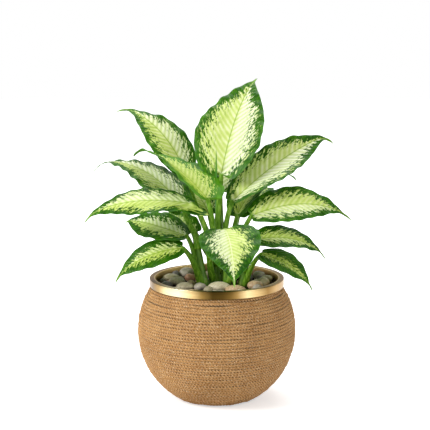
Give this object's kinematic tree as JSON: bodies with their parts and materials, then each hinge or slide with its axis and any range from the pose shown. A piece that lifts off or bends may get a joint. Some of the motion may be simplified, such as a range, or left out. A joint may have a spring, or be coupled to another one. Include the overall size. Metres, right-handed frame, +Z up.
{
  "type": "potted dieffenbachia",
  "caption": "Leafy variegated house plant with broad cream and green leaves in a round rope-wound pot with a brass rim and pebbles on the soil.",
  "frame": {"origin": "centre of the pot's flat foot, on the surface that it stands on", "axes": "+Z up along the pot's axis, the plant's front faces -Y, +X to the right seen from the front"},
  "size_m": [0.4184, 0.3646, 0.4964],
  "materials": {
    "pot": "matte",
    "rope": "matte",
    "brass": "satin",
    "soil": "matte",
    "cane": "satin",
    "leaf": "satin",
    "leaf_young": "satin",
    "pebble": "satin"
  },
  "bodies": {
    "root": {"pot_bowl": "pot", "rope_winding": "rope", "brass_rim": "brass", "soil": "soil", "cane_main": "cane", "cane_left": "cane", "cane_front": "cane", "cane_right": "cane", "cane_back": "cane", "leaf_crown": "leaf", "leaf_upper_left": "leaf", "leaf_curled_left": "leaf", "leaf_mid_left": "leaf", "leaf_broad_left": "leaf", "leaf_low_left": "leaf", "leaf_bottom_left": "leaf", "leaf_front": "leaf", "leaf_upper_right": "leaf", "leaf_behind_right": "leaf", "leaf_broad_right": "leaf", "leaf_low_right": "leaf", "leaf_bottom_right": "leaf", "leaf_back_high": "leaf", "leaf_back_left": "leaf", "leaf_back_right": "leaf", "leaf_back_outer_left": "leaf", "leaf_back_outer_right": "leaf", "leaf_back_low": "leaf", "leaf_rolled": "leaf_young", "pebble_01": "pebble", "pebble_02": "pebble", "pebble_03": "pebble", "pebble_04": "pebble", "pebble_05": "pebble", "pebble_06": "pebble", "pebble_07": "pebble", "pebble_08": "pebble", "pebble_09": "pebble", "pebble_10": "pebble", "pebble_11": "pebble", "pebble_12": "pebble", "pebble_13": "pebble", "pebble_14": "pebble", "pebble_15": "pebble", "pebble_16": "pebble", "pebble_17": "pebble", "pebble_18": "pebble", "pebble_19": "pebble", "pebble_20": "pebble", "pebble_21": "pebble", "pebble_22": "pebble", "pebble_23": "pebble", "pebble_24": "pebble", "pebble_25": "pebble", "pebble_26": "pebble", "pebble_27": "pebble", "pebble_28": "pebble", "pebble_29": "pebble"}
  },
  "joints": []
}
